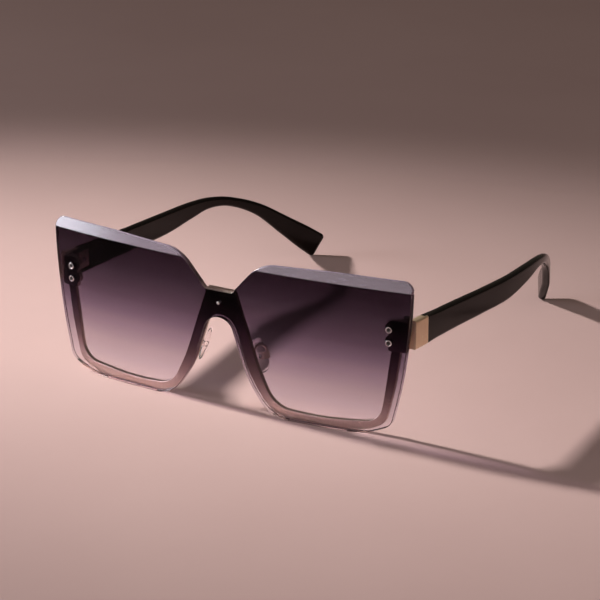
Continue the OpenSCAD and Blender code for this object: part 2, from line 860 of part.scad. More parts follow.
module shield_lens() { color([0.42, 0.3, 0.38, 0.6]) right_side() whole_lens(); }
module bridge_plate() { color("rosybrown") right_side() plate(); }
module bridge_rivet() { color("silver") right_side() small_rivet(); }
module rim_left() { color("rosybrown") left_side() rim(); }
module rim_right() { color("rosybrown") right_side() rim(); }
module end_piece_left() { color("rosybrown") left_side() end_piece(); }
module end_piece_right() { color("rosybrown") right_side() end_piece(); }
module lens_rivets_left() { color("silver") left_side() lens_rivets(); }
module lens_rivets_right() { color("silver") right_side() lens_rivets(); }
module hinge_front_left() { color("rosybrown") left_side() hinge_front(); }
module hinge_front_right() { color("rosybrown") right_side() hinge_front(); }
module hinge_screw_left() { color("silver") left_side() hinge_screw(); }
module hinge_screw_right() { color("silver") right_side() hinge_screw(); }
module nose_pad_arm_left() { color("rosybrown") left_side() nose_pad_arm(); }
module nose_pad_arm_right() { color("rosybrown") right_side() nose_pad_arm(); }
module nose_pad_screw_left() { color("silver") left_side() nose_pad_screw(); }
module nose_pad_screw_right() { color("silver") right_side() nose_pad_screw(); }
module nose_pad_left() { color("mistyrose") left_side() nose_pad(); }
module nose_pad_right() { color("mistyrose") right_side() nose_pad(); }
module temple_left() { color("black") left_side() temple(); }
module temple_right() { color("black") right_side() temple(); }
module temple_core_left() { color("silver") left_side() core(); }
module temple_core_right() { color("silver") right_side() core(); }
module temple_cap_left() { color("tan") left_side() temple_cap(); }
module temple_cap_right() { color("tan") right_side() temple_cap(); }
module hinge_rear_left() { color("rosybrown") left_side() hinge_rear(); }
module hinge_rear_right() { color("rosybrown") right_side() hinge_rear(); }
module hinge_rivets_left() { color("silver") left_side() hinge_rivets(); }
module hinge_rivets_right() { color("silver") right_side() hinge_rivets(); }

shield_lens();
bridge_plate();
bridge_rivet();
rim_left();
rim_right();
end_piece_left();
end_piece_right();
lens_rivets_left();
lens_rivets_right();
hinge_front_left();
hinge_front_right();
hinge_screw_left();
hinge_screw_right();
nose_pad_arm_left();
nose_pad_arm_right();
nose_pad_screw_left();
nose_pad_screw_right();
nose_pad_left();
nose_pad_right();
temple_left();
temple_right();
temple_core_left();
temple_core_right();
temple_cap_left();
temple_cap_right();
hinge_rear_left();
hinge_rear_right();
hinge_rivets_left();
hinge_rivets_right();
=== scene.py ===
"""Oversized shield sunglasses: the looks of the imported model.

Shapes are worked out in millimetres in the row frame, and put_mesh turns them into metres. Lamps
and the camera are placed in metres. X runs across the face, Y back along the temples and Z up.
"""

import json
import math

import bmesh
import bpy
import numpy as np
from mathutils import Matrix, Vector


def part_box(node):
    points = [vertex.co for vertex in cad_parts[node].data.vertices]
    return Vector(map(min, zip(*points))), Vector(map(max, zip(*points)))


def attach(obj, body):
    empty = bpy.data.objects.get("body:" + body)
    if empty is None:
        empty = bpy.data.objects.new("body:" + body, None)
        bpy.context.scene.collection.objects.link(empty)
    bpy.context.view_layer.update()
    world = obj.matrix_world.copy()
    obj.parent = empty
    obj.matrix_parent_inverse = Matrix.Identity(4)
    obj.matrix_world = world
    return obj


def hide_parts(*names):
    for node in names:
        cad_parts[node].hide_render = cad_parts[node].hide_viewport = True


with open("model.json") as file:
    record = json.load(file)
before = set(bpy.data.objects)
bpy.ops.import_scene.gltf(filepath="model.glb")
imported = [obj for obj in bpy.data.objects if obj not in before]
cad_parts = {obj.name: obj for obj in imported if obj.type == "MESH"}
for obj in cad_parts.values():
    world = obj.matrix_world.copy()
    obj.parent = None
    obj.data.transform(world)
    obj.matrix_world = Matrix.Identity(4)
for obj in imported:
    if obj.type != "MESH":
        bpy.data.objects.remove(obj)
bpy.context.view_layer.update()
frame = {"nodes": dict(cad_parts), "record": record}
cad_nodes = frame["nodes"]
MM = 0.001
BODY_OF = {
    node: body
    for body, members in frame["record"]["behaviour"]["bodies"].items()
    for node in members
}

# ---------------------------------------------------------------- sizes of the lens and the metal

# In millimetres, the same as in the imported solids
HALF_W = 73.0
LENS_H = 57.4
LENS_T = 2.0
LENS_R = 436.0
LENS_CHAMFER = 0.2
BEVEL_H = 3.8
BEVEL_DEPTH = 1.55
CREASE_Z = LENS_H - BEVEL_H
FRONT_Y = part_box("shield_lens")[0].y / MM
SEAT_GAP = 0.05
METAL_T = 1.8
METAL_FRONT = LENS_T + SEAT_GAP
METAL_BACK = METAL_FRONT + METAL_T
RIM_DROP = 0.02
RIM_EDGE = 0.28
BRIDGE_EDGE = 0.24

# Corners as shares of half the width and of the height, with a radius as a share of the height
LENS_CORNERS = [
    (0.074, 0.761, 0.021),
    (0.223, 0.974, 0.244),
    (0.616, 0.999, 2.600),
    (1.000, 1.000, 0.063),
    (0.992, 0.732, 2.600),
    (0.958, 0.366, 2.600),
    (0.905, 0.078, 0.087),
    (0.771, 0.000, 0.520),
    (0.279, 0.000, 0.235),
    (0.156, 0.225, 0.660),
    (0.059, 0.585, 0.103),
]
RIM_OUTER = [
    (0.934, 0.547, 0.0),
    (0.908, 0.319, 1.050),
    (0.864, 0.077, 0.096),
    (0.762, 0.008, 0.400),
    (0.285, 0.008, 0.232),
    (0.162, 0.226, 0.660),
    (0.084, 0.514, 0.0),
]
RIM_INNER = [
    (0.889, 0.547, 0.0),
    (0.856, 0.237, 1.050),
    (0.833, 0.082, 0.122),
    (0.521, 0.044, 1.740),
    (0.290, 0.067, 0.174),
    (0.204, 0.286, 1.050),
    (0.144, 0.514, 0.0),
]
BRIDGE_TOP = [(0.144, 0.514, 0.0), (0.078, 0.761, 0.010)]
BRIDGE_ARCH = [(0.084, 0.514, 0.0), (0.063, 0.592, 0.109)]

LENS_RIVET_X = 65.05
LENS_RIVET_HEIGHTS = (39.9, 35.1)

# ---------------------------------------------------------------- sizes of the temples and the pads

# A temple's run: how far back, how high, how far out, how tall and how thick, as shares
RUN_BACK, RUN_UP, RUN_OUT, RUN_TALL, RUN_THICK = np.array([
    (-0.012, 1.003, 0.999, 1.005, 1.00),
    (0.101, 0.974, 1.003, 0.980, 1.00),
    (0.205, 0.947, 1.008, 0.942, 1.00),
    (0.335, 0.912, 1.018, 0.900, 1.00),
    (0.464, 0.883, 1.024, 0.860, 1.00),
    (0.577, 0.891, 1.016, 0.650, 0.97),
    (0.657, 0.891, 0.998, 0.430, 0.93),
    (0.736, 0.828, 0.961, 0.360, 0.93),
    (0.827, 0.659, 0.893, 0.475, 1.00),
    (0.913, 0.393, 0.816, 0.745, 1.07),
    (0.957, 0.242, 0.762, 0.910, 1.07),
    (1.000, 0.096, 0.711, 0.995, 1.05),
]).T
TEMPLE_X = 71.4
TEMPLE_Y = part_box("temple_cap_right")[0].y / MM
TEMPLE_Z = 37.5
TEMPLE_L = 150.0
TEMPLE_H = 10.4
TEMPLE_T = 3.0
TEMPLE_EDGE = 0.7
TEMPLE_WORN_EDGE = 1.25
WORN_WITHIN = 0.05
TIP_ROUND = 1.3
CAP_T = 0.6
CAP_GAP = 0.06
CAP_L = 8.7
CAP_TOP_L = 7.4

PAD_AT = np.array([11.395, FRONT_Y + 9.418, 18.601])
PAD_LEAN = math.radians(20)
PAD_SPLAY = math.radians(25)
PAD_LOW_R = 3.3
PAD_HIGH_R = 2.376
PAD_L = 12.6
PAD_T = 2.4
PAD_FULLNESS = 0.8
TAB_L = 2.7
TAB_HALF_W = 0.75
TAB_HALF_H = 1.0
TAB_EDGE = 0.12

# ---------------------------------------------------------------- curves


def unit(v):
    """Vectors scaled to length one."""
    return v / np.linalg.norm(v, axis=-1, keepdims=True)


def in_millimetres(corners):
    """Corners given as shares, in millimetres."""
    return np.array(corners) * (HALF_W, LENS_H, LENS_H)


def corner_arc(before, at, after, radius):
    """The circle arc of a radius that rounds a corner, in steps of 3 degrees at most.

    Its centre lies on the corner's bisector, as far out as the radius over the half angle's sine.
    """
    a, b = unit(before - at), unit(after - at)
    half = math.acos(np.clip(a @ b, -1, 1)) / 2
    centre = at + unit(a + b) * radius / math.sin(half)
    start, end = (at + leg * radius / math.tan(half) - centre for leg in (a, b))
    first = math.atan2(start[1], start[0])
    sweep = (math.atan2(end[1], end[0]) - first + 3 * math.pi) % (2 * math.pi) - math.pi
    steps = max(2, math.ceil(abs(math.degrees(sweep)) / 3))
    angle = first + sweep * np.linspace(0, 1, steps + 1)
    return centre + radius * np.stack([np.cos(angle), np.sin(angle)], 1)


def rounded_line(corners, closed=False):
    """An outline with rounded corners, and the place of each corner's middle along it."""
    points, middles = [], []
    n = len(corners)
    for i, (x, z, r) in enumerate(corners):
        at = np.array([x, z])
        if r == 0:
            arc = at[None]
        else:
            arc = corner_arc(corners[i - 1][:2], at, corners[(i + 1) % n][:2], r)
        middles.append(sum(len(p) for p in points) + len(arc) // 2)
        points.append(arc)
    line = np.concatenate(points)
    return (np.concatenate([line, line[:1]]) if closed else line), middles


def even_steps(line, count=None, spacing=None):
    """A line cut into even steps by its length, or into steps no longer than a spacing."""
    length = np.concatenate([[0], np.cumsum(np.linalg.norm(np.diff(line, axis=0), axis=1))])
    if count:
        at = np.linspace(0, length[-1], count + 1)
    else:
        even = np.linspace(0, length[-1], int(length[-1] / spacing) + 2)
        at = np.unique(np.concatenate([length, even]))
    return np.stack([np.interp(at, length, line[:, k]) for k in range(line.shape[1])], 1)


def matched_lines(one, other, marks, count):
    """Two lines in even steps that pass the marked corners together."""
    out = []
    for corners in (one, other):
        line, middles = rounded_line(corners)
        cuts = [middles[m] for m in marks]
        spans = [line[a:b + 1] for a, b in zip(cuts[:-1], cuts[1:])]
        parts = [even_steps(span, count=count)[:-1] for span in spans]
        out.append(np.concatenate(parts + [line[-1:]]))
    return out


def lens_y(x, depth):
    """Place along Y of a point that lies at a depth behind the lens's front cylinder."""
    return FRONT_Y + LENS_R - np.sqrt((LENS_R - depth) ** 2 - x * x)


def smooth(xs, ys, x):
    """The smooth cubic curve through points: at each point its slope is that of its neighbours."""
    slope = np.gradient(ys) / np.gradient(xs)
    inner = np.arange(1, len(xs) - 1)
    slope[inner] = (ys[inner + 1] - ys[inner - 1]) / (xs[inner + 1] - xs[inner - 1])
    i = np.clip(np.searchsorted(xs, x, side="left") - 1, 0, len(xs) - 2)
    w = xs[i + 1] - xs[i]
    t = (x - xs[i]) / w
    return (
        ys[i] * (2 * t**3 - 3 * t**2 + 1)
        + slope[i] * w * (t**3 - 2 * t**2 + t)
        + ys[i + 1] * (3 * t**2 - 2 * t**3)
        + slope[i + 1] * w * (t**3 - t**2)
    )


def corner_fan(steps):
    """The points round a rounded rectangle: four quarter circles in turn, counterclockwise.

    Each point has the signs of its corner across and up, and the cosine and sine of its angle.
    """
    signs = np.repeat(np.array([(1, 1), (-1, 1), (-1, -1), (1, -1)]), steps + 1, axis=0)
    angle = np.radians(np.arange(4)[:, None] * 90 + np.linspace(0, 90, steps + 1)).ravel()
    return signs[:, 0], signs[:, 1], np.cos(angle), np.sin(angle)


# ---------------------------------------------------------------- meshes


def add_object(name, data):
    """An object in the scene that holds a mesh, a lamp or a camera."""
    made = bpy.data.objects.new(name, data)
    bpy.context.scene.collection.objects.link(made)
    return made


def put_mesh(name, points, faces, slots=None, sharp=30):
    """A mesh object from points in millimetres and faces, with doubles merged."""
    doubles = 2e-7
    mesh = bpy.data.meshes.new(name)
    mesh.from_pydata((np.asarray(points) * MM).tolist(), [], [list(f) for f in faces])
    if slots is not None:
        mesh.polygons.foreach_set("material_index", np.asarray(slots, np.int32))
    bm = bmesh.new()
    bm.from_mesh(mesh)
    bmesh.ops.remove_doubles(bm, verts=bm.verts, dist=doubles)
    bmesh.ops.dissolve_degenerate(bm, edges=bm.edges, dist=doubles)
    bmesh.ops.recalc_face_normals(bm, faces=bm.faces)
    bm.to_mesh(mesh)
    bm.free()
    mesh.shade_smooth()
    mesh.set_sharp_from_angle(angle=math.radians(sharp))
    return add_object(name, mesh)


def skin_faces(rings, loop, ends=True):
    """Faces of a skin over rows of points, each row closed round, with its two ends shut."""
    i, k = np.meshgrid(np.arange(rings - 1), np.arange(loop), indexing="ij")
    a, b = i * loop + k, i * loop + (k + 1) % loop
    faces = np.stack([a, b, b + loop, a + loop], -1).reshape(-1, 4).tolist()
    if ends:
        faces.append(list(range(loop))[::-1])
        faces.append(list(range((rings - 1) * loop, rings * loop)))
    return faces


def even_shading(piece):
    """Keeps flat faces flat beside rounded edges."""
    weighted = piece.modifiers.new("even shading", "WEIGHTED_NORMAL")
    weighted.keep_sharp = True
    weighted.weight = 80


def skin(name, rings, sharp):
    """A closed form through rings of points, with even shading."""
    piece = put_mesh(name, rings.reshape(-1, 3), skin_faces(*rings.shape[:2]), sharp=sharp)
    even_shading(piece)
    return piece


def several(name, forms, sharp, second=0):
    """One mesh from several closed forms, each given as its rings.

    A number of first bands of each form, and the face that shuts it there, take the second
    material.
    """
    points, faces, slots, start = [], [], [], 0
    for rings in forms:
        count, loop = rings.shape[:2]
        shape = skin_faces(count, loop)
        first_end = len(shape) - 2 if second else None
        faces += [[start + v for v in face] for face in shape]
        slots += [int(i < second * loop or i == first_end) for i in range(len(shape))]
        points.append(rings.reshape(-1, 3))
        start += count * loop
    return put_mesh(name, np.concatenate(points), faces, slots, sharp=sharp)


def mirrored(points, side):
    """Points of the right side, or their mirror image for the left."""
    return points * ((1, 1, 1) if side == "right" else (-1, 1, 1))


def stand_for(piece, node):
    """A finished piece takes the place of a solid, on the same body."""
    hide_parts(node)
    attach(piece, BODY_OF[node])
    return piece


def eased_copy(node, width):
    """A copy of a solid with its flat faces joined up and its edges eased by a width."""
    doubles = 1e-6
    flat_within, sharp_from = math.radians(0.6), math.radians(35)
    source = cad_nodes[node].data
    points = np.zeros(len(source.vertices) * 3)
    source.vertices.foreach_get("co", points)
    faces = [list(p.vertices) for p in source.polygons]
    mesh = bpy.data.meshes.new(node + "_eased")
    mesh.from_pydata(points.reshape(-1, 3).tolist(), [], faces)
    bm = bmesh.new()
    bm.from_mesh(mesh)
    bmesh.ops.remove_doubles(bm, verts=bm.verts, dist=doubles)
    bmesh.ops.dissolve_limit(bm, angle_limit=flat_within, verts=bm.verts, edges=bm.edges)
    bm.to_mesh(mesh)
    bm.free()
    mesh.shade_smooth()
    mesh.set_sharp_from_angle(angle=sharp_from)
    piece = add_object(node + "_eased", mesh)
    if width:
        edge = piece.modifiers.new("soft edges", "BEVEL")
        edge.width = width * MM
        edge.segments = 2
        edge.limit_method = "ANGLE"
        edge.angle_limit = sharp_from
        edge.use_clamp_overlap = True
        even_shading(piece)
    return stand_for(piece, node)


# ---------------------------------------------------------------- the lens

# The lens's four materials, in the order in which it is dressed
FACE, BEVEL, SATIN_EDGE, CLEAR_EDGE = range(4)


def inset_line(line, distance):
    """A closed line moved towards its inside, along the bisector at each point."""
    before, after = unit(line - np.roll(line, 1, 0)), unit(np.roll(line, -1, 0) - line)
    tangent = unit(before + after)
    normal = np.stack([tangent[:, 1], -tangent[:, 0]], 1)
    following = np.roll(line, -1, 0)
    area = np.sum(line[:, 0] * following[:, 1] - following[:, 0] * line[:, 1])
    return line - normal * distance * np.sign(area)


def upper_and_lower(line):
    """Point numbers along the upper and the lower half of a closed line, from left to right."""
    n = len(line)
    right, left = int(line[:, 0].argmax()), int(line[:, 0].argmin())
    upper = (left + np.arange((right - left) % n + 1)) % n
    lower = (left - np.arange((left - right) % n + 1)) % n
    if line[upper, 1].mean() < line[lower, 1].mean():
        upper, lower = lower, upper
    return (c if line[c[0], 0] < line[c[-1], 0] else c[::-1] for c in (upper, lower))


def bevel_cut(z):
    """How deep the ground bevel has cut at a height: it grows evenly from its lower line."""
    return np.maximum(0, z - CREASE_Z) * BEVEL_DEPTH / BEVEL_H


def shield_lens():
    """The lens as rings round its section, one for each place across the face.

    A ring climbs the front face from the lower to the upper outline, crosses the polished edge and
    its two small chamfers, and comes down the back. The front and back lie on two cylinders with
    one axis, and the bevel is a cone on that axis.
    """
    outline_step, nearest_columns = 0.9, 0.02
    face_rows, bevel_rows = 22, 4
    half = in_millimetres(LENS_CORNERS)
    corners = np.concatenate([half, (half * (-1, 1, 1))[::-1]])
    outline, _ = rounded_line(corners, closed=True)
    outline = even_steps(outline, spacing=outline_step)[:-1]
    inside = inset_line(outline, LENS_CHAMFER)
    upper, lower = upper_and_lower(inside)
    columns = np.unique(np.round(np.concatenate([inside[upper, 0], inside[lower, 0]]), 4))
    columns = columns[np.concatenate([[True], np.diff(columns) > nearest_columns])]

    def at_columns(chain, line):
        """Points of a line where its half of the outline passes the columns."""
        step = np.interp(columns, inside[chain, 0], np.arange(len(chain)))
        places = np.arange(len(chain))
        return np.stack([np.interp(step, places, line[chain, k]) for k in (0, 1)], 1)

    low_in, low_out = at_columns(lower, inside), at_columns(lower, outline)
    high_in, high_out = at_columns(upper, inside), at_columns(upper, outline)
    crease = np.clip(CREASE_Z, low_in[:, 1], high_in[:, 1])
    t = np.linspace(0, 1, face_rows + 1)
    u = np.linspace(0, 1, bevel_rows + 1)[1:]
    z = np.concatenate([
        low_in[:, 1:] + (crease - low_in[:, 1])[:, None] * t,
        crease[:, None] + (high_in[:, 1] - crease)[:, None] * u,
    ], 1)
    share = (z - low_in[:, 1:]) / np.maximum(1e-9, high_in[:, 1:] - low_in[:, 1:])
    x = low_in[:, :1] + (high_in[:, :1] - low_in[:, :1]) * share
    front = np.stack([x, lens_y(x, bevel_cut(z)), z], -1)
    back = np.stack([x, lens_y(x, LENS_T), z], -1)[:, ::-1]

    def edge(side, depth):
        """One row of points along an outline at a depth."""
        return np.stack([side[:, 0], lens_y(side[:, 0], depth), side[:, 1]], -1)[:, None]

    rings = np.concatenate([
        front,
        edge(high_out, bevel_cut(high_out[:, 1]) + LENS_CHAMFER),
        edge(high_out, LENS_T - LENS_CHAMFER),
        back,
        edge(low_out, LENS_T - LENS_CHAMFER),
        edge(low_out, bevel_cut(low_out[:, 1]) + LENS_CHAMFER),
    ], 1)
    # Bands round a ring: up the front, over the top edge, down the back and under the lower edge
    bands = np.repeat(
        [FACE, BEVEL, SATIN_EDGE, FACE, SATIN_EDGE, CLEAR_EDGE, SATIN_EDGE],
        [face_rows, bevel_rows, 3, face_rows + bevel_rows, 1, 1, 1],
    )
    faces = skin_faces(len(columns), len(bands), ends=False)
    slots = np.tile(bands, len(columns) - 1)
    piece = put_mesh("lens", rings.reshape(-1, 3), faces, slots, sharp=14)
    return stand_for(piece, "shield_lens")


# ---------------------------------------------------------------- the metal half-rims and bridge


def flat_bar(outer, inner, ease):
    """Rings of a flat bar between two lines of the front, seated behind the lens.

    Its section is a rectangle with eased corners, as wide as the gap between the lines and as deep
    as the metal, and its front and back lie on cylinders with the lens's axis.
    """
    across = inner - outer
    width = np.linalg.norm(across, axis=1)
    side_x, side_y, cosine, sine = corner_fan(3)
    along = (side_x + 1) / 2 * width[:, None] + (cosine - side_x) * ease
    place = outer[:, None] + unit(across)[:, None] * along[..., None]
    depth = METAL_FRONT + (side_y + 1) / 2 * METAL_T + (sine - side_y) * ease
    return np.stack([place[..., 0], lens_y(place[..., 0], depth), place[..., 1]], -1)


def half_rim(side):
    """The U of a half-rim, from the end piece down, along the bottom and up the nose."""
    drop = (0, RIM_DROP, 0)
    outer, inner = in_millimetres(RIM_OUTER) - drop, in_millimetres(RIM_INNER) - drop
    rings = flat_bar(*matched_lines(outer, inner, marks=(0, 2, 4, 6), count=46), RIM_EDGE)
    return stand_for(skin("half_rim_" + side, mirrored(rings, side), sharp=50), "rim_" + side)


def bridge():
    """The plate over the nose: its upper line and its arch, carried from one foot to the other."""
    top, arch = (
        np.concatenate([half * (-1, 1, 1), half[::-1]])
        for half in (in_millimetres(BRIDGE_TOP), in_millimetres(BRIDGE_ARCH))
    )
    rings = flat_bar(*matched_lines(top, arch, marks=(0, 1, 2, 3), count=26), BRIDGE_EDGE)
    return stand_for(skin("bridge", rings, sharp=50), "bridge_plate")


# ---------------------------------------------------------------- the rivets through the lens


def turned(profile, at, axis):
    """Rings of a profile (radius, height) turned about a level axis from a point."""
    side = unit(np.cross(axis, (0, 0, 1)))
    third = np.cross(axis, side)
    angle = np.linspace(0, 2 * np.pi, 40, endpoint=False)
    around = np.cos(angle)[:, None] * side + np.sin(angle)[:, None] * third
    return at + profile[:, :1, None] * around + (profile[:, 1:] * axis)[:, None]


def rivet_profile(head_r, head_h, recess, shank_r, shank_l, tail_r, tail_h):
    """A rivet from the floor of its recess over its rounded rim and down its shank to its tail.

    The rim is a half circle carried round the axis, between the recess's wall and the head's side,
    and the tail is a low dome whose ball has the radius (tail_r² + tail_h²) / (2 tail_h).
    """
    floor_h, bowl_h = 0.12, 0.1
    tube = (head_r - recess) / 2
    swing = np.radians(np.linspace(0, 180, 17))
    rim = np.stack([recess + tube - tube * np.cos(swing), head_h - tube + tube * np.sin(swing)], 1)
    pit = np.radians(np.linspace(0, 90, 7))
    bowl = np.stack([recess * np.sin(pit), floor_h + bowl_h * (1 - np.cos(pit))], 1)
    tail_ball = (tail_r**2 + tail_h**2) / (2 * tail_h)
    out = np.linspace(tail_r, 0, 8)
    tail = np.stack([out, -shank_l - (np.sqrt(tail_ball**2 - out**2) - tail_ball + tail_h)], 1)
    shank = [(head_r, 0), (shank_r, 0), (shank_r, -shank_l), (tail_r, -shank_l)]
    return np.concatenate([bowl, rim, shank, tail[1:]])


def lens_rivets(side):
    """The two dimpled rivets at a side of the lens, square to the lens there."""
    # The recess's bands take the second material, a near-black steel that paints the shade inside
    # the recess
    recess_bands = 8
    turn = math.asin(LENS_RIVET_X / LENS_R)
    out = np.array([math.sin(turn), -math.cos(turn), 0])
    seat = np.array([LENS_RIVET_X, lens_y(LENS_RIVET_X, 0), 0])
    profile = rivet_profile(
        head_r=1.2, head_h=0.7, recess=0.70,
        shank_r=0.65, shank_l=METAL_BACK,
        tail_r=1.0, tail_h=0.4,
    )
    forms = [mirrored(turned(profile, seat + (0, 0, z), out), side) for z in LENS_RIVET_HEIGHTS]
    piece = several("rivets_" + side, forms, sharp=40, second=recess_bands)
    return stand_for(piece, "lens_rivets_" + side)


# ---------------------------------------------------------------- temples


def temple_middle(s):
    """Middle line of the right temple at a share of its length, on smooth curves of its run."""
    return np.stack([
        TEMPLE_X * smooth(RUN_BACK, RUN_OUT, s),
        TEMPLE_Y + TEMPLE_L * s,
        TEMPLE_Z * smooth(RUN_BACK, RUN_UP, s),
    ], -1)


def temple_rings(s, cut):
    """Sections square to the temple's middle line, narrowed by a cut round the tip's end face.

    A section is a rounded rectangle. Its corners are tighter at the cap and softer behind it.
    """
    nudge, corner_most = 0.002, 0.45
    run = temple_middle(s + nudge) - temple_middle(s - nudge)
    x, y, z = run.T
    up = unit(np.stack([-x * z, -y * z, x * x + y * y], 1))
    inward = unit(np.stack([-y, x, 0 * s], 1))
    h = TEMPLE_H * smooth(RUN_BACK, RUN_TALL, s) - cut
    w = TEMPLE_T * smooth(RUN_BACK, RUN_THICK, s) - cut
    worn = np.clip((s - CAP_L / TEMPLE_L) / WORN_WITHIN, 0, 1)
    r = TEMPLE_EDGE + (TEMPLE_WORN_EDGE - TEMPLE_EDGE) * worn
    r = np.minimum(r, corner_most * np.minimum(h, w))[:, None]
    side_x, side_y, cosine, sine = corner_fan(6)
    x = side_x * (w[:, None] / 2 - r) + r * cosine
    y = side_y * (h[:, None] / 2 - r) + r * sine
    return temple_middle(s)[:, None] + inward[:, None] * x[..., None] + up[:, None] * y[..., None]


def temple(side):
    """A temple: sections carried along its middle line, stepped in under its metal cap."""
    def share(y):
        """How far along the temple a place on Y lies."""
        return (y - TEMPLE_Y) / TEMPLE_L

    y_start, y_top, y_side = (TEMPLE_Y + reach + CAP_GAP for reach in (CAP_T, CAP_TOP_L, CAP_L))
    # Its sections: under the cap's top, under its side, free, and round the tip's end face
    under_top = np.linspace(share(y_start), share(y_top), 5)
    under_side = np.linspace(share(y_top), share(y_side), 6)
    free = np.linspace(share(y_side), 1 - TIP_ROUND / TEMPLE_L, 190)
    swing = np.radians(np.linspace(0, 90, 15)[1:])
    tip = 1 + (np.sin(swing) - 1) * TIP_ROUND / TEMPLE_L
    s = np.concatenate([under_top, under_side, free, tip])
    cut = np.concatenate([np.zeros(len(s) - len(tip)), 2 * TIP_ROUND * (1 - np.cos(swing))])
    rings = temple_rings(s, cut)
    top, stepped = len(under_top), len(under_top) + len(under_side)
    x_limit = TEMPLE_X + TEMPLE_T / 2 - CAP_T - CAP_GAP
    z_limit = TEMPLE_Z + TEMPLE_H / 2 - CAP_T - CAP_GAP
    rings[:stepped, :, 0] = np.minimum(rings[:stepped, :, 0], x_limit)
    rings[:top, :, 2] = np.minimum(rings[:top, :, 2], z_limit)
    rings[0, :, 1] = y_start
    rings[top - 1:top + 1, :, 1] = y_top
    rings[stepped - 1:stepped + 1, :, 1] = y_side
    piece = skin("temple_" + side + "_shell", mirrored(rings, side), sharp=38)
    return stand_for(piece, "temple_" + side)


# ---------------------------------------------------------------- nose pads


def on_pad(points, side):
    """Points given on the right pad (away from the nose, back, up), placed in the row frame."""
    lean = np.array([
        [math.cos(PAD_LEAN), 0, -math.sin(PAD_LEAN)],
        [0, 1, 0],
        [math.sin(PAD_LEAN), 0, math.cos(PAD_LEAN)],
    ])
    c, s = math.cos(PAD_SPLAY), math.sin(PAD_SPLAY)
    splay = np.array([[c, s, 0], [-s, c, 0], [0, 0, 1]])
    return mirrored(points @ lean.T @ splay.T + PAD_AT, side)


def pad_rings():
    """A soft drop shape: its edge is drawn round a large and a small circle, and rings of it
    shrink and rise by the cosine and sine of one angle, as on a flat egg."""
    around, rows = 72, 29
    low_z, high_z = PAD_LOW_R - PAD_L / 2, PAD_L / 2 - PAD_HIGH_R
    angle = np.linspace(0, 2 * np.pi, around, endpoint=False)
    is_high = np.sin(angle) > (PAD_LOW_R - PAD_HIGH_R) / (high_z - low_z)
    r = np.where(is_high, PAD_HIGH_R, PAD_LOW_R)
    edge = r * np.cos(angle), np.where(is_high, high_z, low_z) + r * np.sin(angle)
    rise = np.radians(np.linspace(-90, 90, rows))[:, None]
    shrink = np.cos(rise) ** PAD_FULLNESS
    level = np.broadcast_to(PAD_T / 2 * np.sin(rise), (rows, around))
    return np.stack([level, shrink * edge[0], shrink * edge[1]], -1)


def tab_rings():
    """The pad's tab: a tongue with a round end, drawn at four places across its width."""
    turn = np.radians(np.linspace(-90, 90, 19))
    arc = np.stack([np.cos(turn), np.sin(turn)], 1)
    full, shy = TAB_HALF_H, TAB_HALF_H - TAB_EDGE
    flat_to = TAB_HALF_W - TAB_EDGE
    rings = []
    for y, r in ((-TAB_HALF_W, shy), (-flat_to, full), (flat_to, full), (TAB_HALF_W, shy)):
        outline = np.concatenate([[(0, -r)], (TAB_L, 0) + arc * r, [(0, r)]])
        rings.append(np.insert(outline, 1, y, axis=1))
    return np.array(rings)


def nose_pad(side):
    """A soft pad with its tab."""
    forms = [on_pad(rings, side) for rings in (pad_rings(), tab_rings())]
    return stand_for(several("soft_pad_" + side, forms, sharp=60), "nose_pad_" + side)


# ---------------------------------------------------------------- nodes


def link(tree, source, target):
    """Carries a value from one socket to another."""
    tree.links.new(source, target)


def give(tree, socket, value):
    """Sets a socket, or links it where the value is a socket too."""
    if isinstance(value, bpy.types.NodeSocket):
        link(tree, value, socket)
    else:
        socket.default_value = value


def add(tree, kind, settings=None, **inputs):
    """A node with its settings and inputs. An input goes by its name, or by i and its place."""
    made = tree.nodes.new("ShaderNode" + kind)
    for key, value in (settings or {}).items():
        setattr(made, key, value)
    for key, value in inputs.items():
        by_place = key[0] == "i" and key[1:].isdigit()
        give(tree, made.inputs[int(key[1:]) if by_place else key.replace("_", " ")], value)
    return made


def maths(tree, operation, *values, clamp=False):
    """A sum, product or comparison of values."""
    inputs = {f"i{k}": value for k, value in enumerate(values)}
    return add(tree, "Math", {"operation": operation, "use_clamp": clamp}, **inputs).outputs[0]


def stretched(tree, vector, by):
    """A place multiplied axis by axis: less than one draws a pattern out along that axis."""
    return add(tree, "VectorMath", {"operation": "MULTIPLY"}, i0=vector, i1=by).outputs[0]


def noise(tree, vector, scale, detail, **more):
    """A noise over the surface, 0.5 on average, with its scale in waves per metre."""
    return add(tree, "TexNoise", Vector=vector, Scale=scale, Detail=detail, **more).outputs[0]


def to_range(tree, value, low, high):
    """A value from 0 to 1 taken to a range."""
    return add(tree, "MapRange", i0=value, i1=0.0, i2=1.0, i3=low, i4=high).outputs[0]


def height_share(tree, place):
    """Height on the lens, from 0 at its lower edge to 1 at its top."""
    height = add(tree, "SeparateXYZ", Vector=place).outputs["Z"]
    return add(tree, "MapRange", i0=height, i1=0.0, i2=LENS_H * MM).outputs[0]


def ramp(tree, share, stops):
    """A colour ramp through stops of (place, colour)."""
    made = add(tree, "ValToRGB", Fac=share)
    band = made.color_ramp
    while len(band.elements) < len(stops):
        band.elements.new(0.5)
    for element, (place, colour) in zip(band.elements, stops):
        element.position = place
        element.color = (*colour, 1)
    return made.outputs["Color"]


def mix_colour(tree, share, a, b, blend="MIX"):
    """One colour laid over another by a share."""
    made = add(tree, "Mix", {"data_type": "RGBA", "blend_type": blend}, i0=share)
    for socket, value in ((made.inputs[6], a), (made.inputs[7], b)):
        give(tree, socket, (*value, 1) if isinstance(value, tuple) else value)
    return made.outputs[2]


def bump(tree, shader, height, strength, distance):
    """Relief on a material, its depth in metres."""
    relief = add(tree, "Bump", Strength=strength, Distance=distance, Height=height)
    link(tree, relief.outputs[0], shader.inputs["Normal"])


